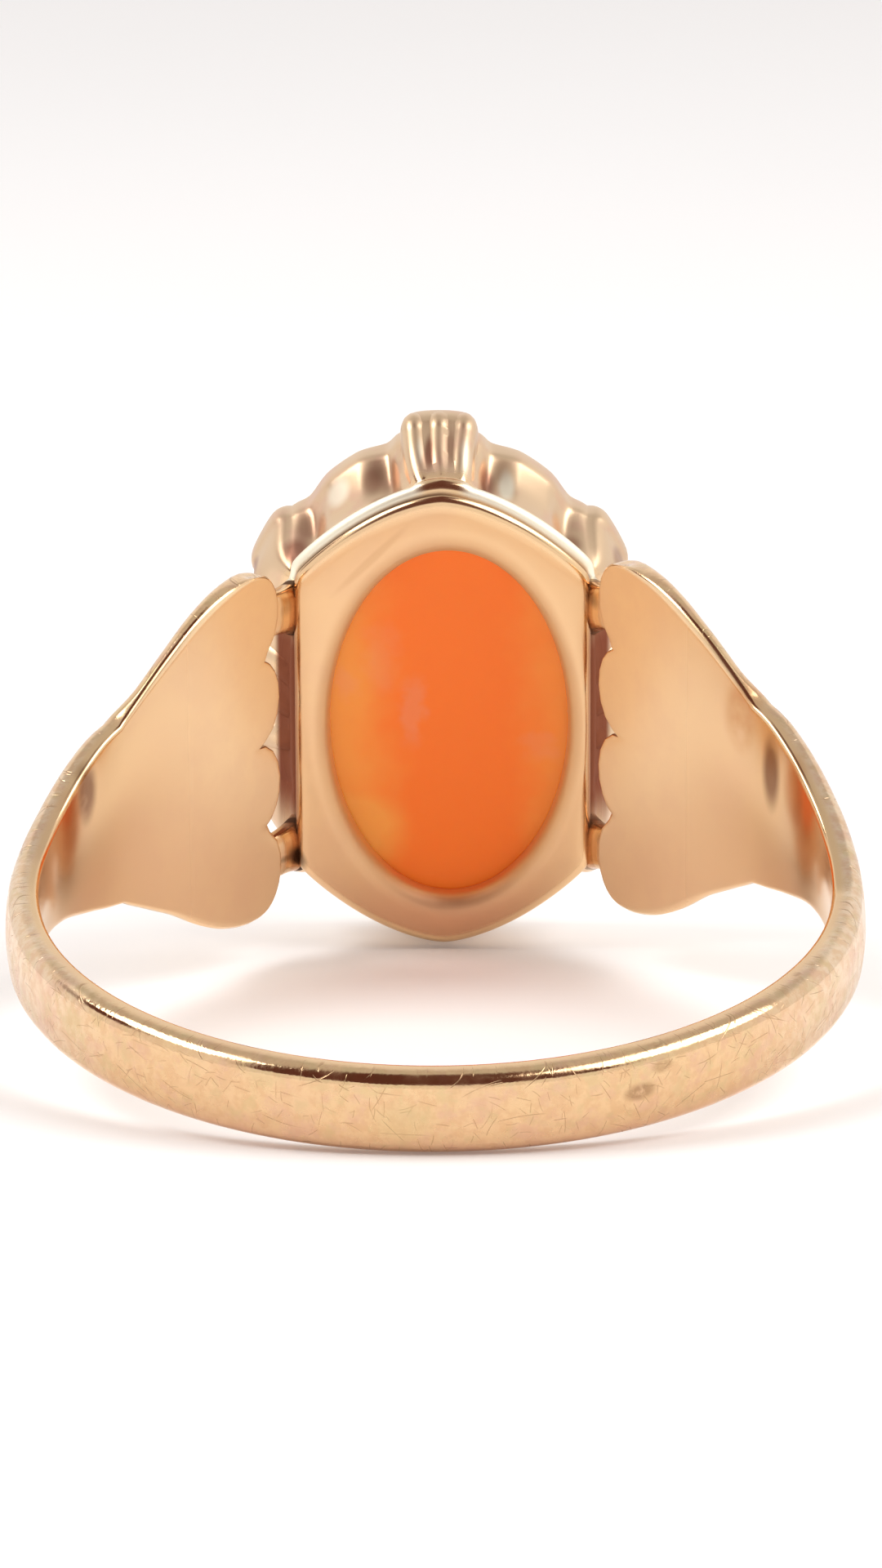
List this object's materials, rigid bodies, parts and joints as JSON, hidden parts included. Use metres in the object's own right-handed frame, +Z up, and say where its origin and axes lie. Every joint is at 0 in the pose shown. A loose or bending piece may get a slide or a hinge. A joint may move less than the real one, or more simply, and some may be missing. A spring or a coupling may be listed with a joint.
{
  "type": "cameo ring",
  "caption": "Finger ring with a narrow band, wide shoulders with scalloped ends, and an oval shell cameo set in a head with an open back and ribbed claws.",
  "frame": {"origin": "centre of the finger hole, halfway along it", "axes": "+Y from the back of the band towards the head, level; +Z up, away from the surface that the ring lies on; +X across the ring, to the right of someone who looks through the hole at the head's back"},
  "size_m": [0.019, 0.0244, 0.0129],
  "materials": {
    "gold": "worn polish",
    "shell": "polished",
    "shell_relief": "satin"
  },
  "bodies": {
    "root": {"ring_mount": "gold", "cameo_ground": "shell", "cameo_rose": "shell_relief"}
  },
  "joints": []
}
